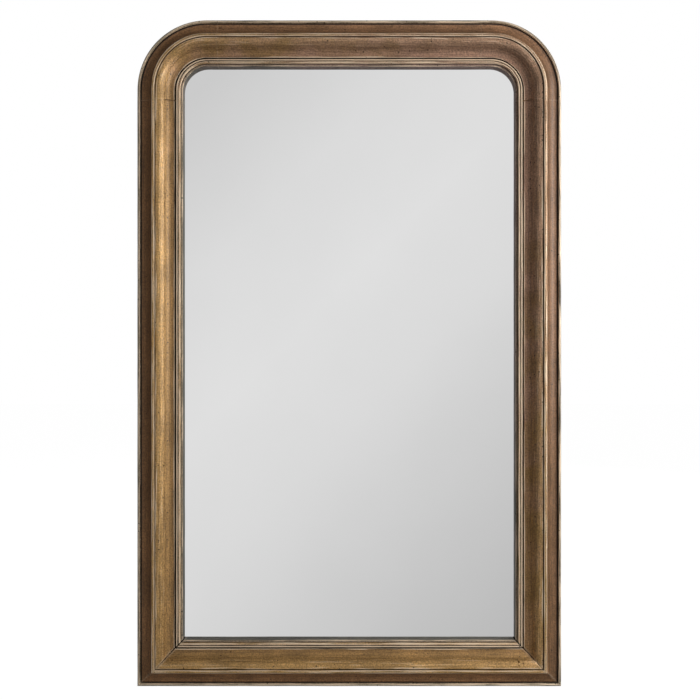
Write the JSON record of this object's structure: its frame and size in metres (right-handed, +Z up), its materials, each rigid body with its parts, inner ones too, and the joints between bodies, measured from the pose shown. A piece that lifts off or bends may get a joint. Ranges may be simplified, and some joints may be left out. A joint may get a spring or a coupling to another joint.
{
  "type": "framed wall mirror",
  "caption": "Tall wall mirror in a deep moulded bronze-gold wood frame with round upper corners, mitred lower corners and ring hangers behind.",
  "frame": {"origin": "on the wall plane, midway between the two hooks that carry the hanger rings", "axes": "+Z up, +Y into the wall, -Y towards the room, +X to the viewer's right"},
  "size_m": [0.7, 0.0505, 1.1],
  "materials": {
    "bronze_gilt_wood": "aged bronze-gold leaf and wax over gesso, brown in the hollows",
    "beech": "bare beech",
    "mirror_glass": "clear float glass, silvered behind",
    "card": "corrugated brown card",
    "fibreboard": "plain fibreboard",
    "zinc_steel": "zinc plated",
    "blued_steel": "dull spring steel",
    "grey_rubber": "matt"
  },
  "bodies": {
    "frame": {"bottom_rail": "bronze_gilt_wood", "left_stile": "bronze_gilt_wood", "right_stile": "bronze_gilt_wood", "top_rail": "bronze_gilt_wood", "left_corner_block": "bronze_gilt_wood", "right_corner_block": "bronze_gilt_wood", "corner_dowels": "beech", "mitre_biscuits": "beech", "mirror_plate": "mirror_glass", "setting_blocks": "beech", "packing_sheet": "card", "backing_board": "fibreboard", "turn_button_screws": "zinc_steel", "left_corner_plate": "zinc_steel", "right_corner_plate": "zinc_steel", "corner_plate_screws": "zinc_steel", "left_hanger_strap": "zinc_steel", "right_hanger_strap": "zinc_steel", "hanger_screws": "zinc_steel", "wall_bumpers": "grey_rubber"},
    "left_turn_button_1": {"left_turn_button_1": "blued_steel"},
    "left_turn_button_2": {"left_turn_button_2": "blued_steel"},
    "left_turn_button_3": {"left_turn_button_3": "blued_steel"},
    "right_turn_button_1": {"right_turn_button_1": "blued_steel"},
    "right_turn_button_2": {"right_turn_button_2": "blued_steel"},
    "right_turn_button_3": {"right_turn_button_3": "blued_steel"},
    "bottom_turn_button_1": {"bottom_turn_button_1": "blued_steel"},
    "bottom_turn_button_2": {"bottom_turn_button_2": "blued_steel"},
    "top_turn_button_1": {"top_turn_button_1": "blued_steel"},
    "top_turn_button_2": {"top_turn_button_2": "blued_steel"},
    "left_hanger_ring": {"left_hanger_ring": "zinc_steel"},
    "right_hanger_ring": {"right_hanger_ring": "zinc_steel"}
  },
  "joints": [
    {"name": "left_turn_button_1_swivel", "type": "hinge", "parent": "frame", "child": "left_turn_button_1", "pos_m": [-0.296, -0.0065, -0.64], "axis": [0, 1, 0], "continuous": true},
    {"name": "left_turn_button_2_swivel", "type": "hinge", "parent": "frame", "child": "left_turn_button_2", "pos_m": [-0.296, -0.0065, -0.3775], "axis": [0, 1, 0], "continuous": true},
    {"name": "left_turn_button_3_swivel", "type": "hinge", "parent": "frame", "child": "left_turn_button_3", "pos_m": [-0.296, -0.0065, -0.115], "axis": [0, 1, 0], "continuous": true},
    {"name": "right_turn_button_1_swivel", "type": "hinge", "parent": "frame", "child": "right_turn_button_1", "pos_m": [0.296, -0.0065, -0.64], "axis": [0, 1, 0], "continuous": true},
    {"name": "right_turn_button_2_swivel", "type": "hinge", "parent": "frame", "child": "right_turn_button_2", "pos_m": [0.296, -0.0065, -0.3775], "axis": [0, 1, 0], "continuous": true},
    {"name": "right_turn_button_3_swivel", "type": "hinge", "parent": "frame", "child": "right_turn_button_3", "pos_m": [0.296, -0.0065, -0.115], "axis": [0, 1, 0], "continuous": true},
    {"name": "bottom_turn_button_1_swivel", "type": "hinge", "parent": "frame", "child": "bottom_turn_button_1", "pos_m": [-0.14, -0.0065, -0.816], "axis": [0, 1, 0], "continuous": true},
    {"name": "bottom_turn_button_2_swivel", "type": "hinge", "parent": "frame", "child": "bottom_turn_button_2", "pos_m": [0.14, -0.0065, -0.816], "axis": [0, 1, 0], "continuous": true},
    {"name": "top_turn_button_1_swivel", "type": "hinge", "parent": "frame", "child": "top_turn_button_1", "pos_m": [-0.14, -0.0065, 0.176], "axis": [0, 1, 0], "continuous": true},
    {"name": "top_turn_button_2_swivel", "type": "hinge", "parent": "frame", "child": "top_turn_button_2", "pos_m": [0.14, -0.0065, 0.176], "axis": [0, 1, 0], "continuous": true},
    {"name": "left_hanger_ring_pivot", "type": "hinge", "parent": "frame", "child": "left_hanger_ring", "pos_m": [-0.322, -0.00365, -0.01997], "axis": [-1, 0, 0], "range_deg": [0, 180]},
    {"name": "right_hanger_ring_pivot", "type": "hinge", "parent": "frame", "child": "right_hanger_ring", "pos_m": [0.322, -0.00365, -0.01997], "axis": [-1, 0, 0], "range_deg": [0, 180]}
  ]
}
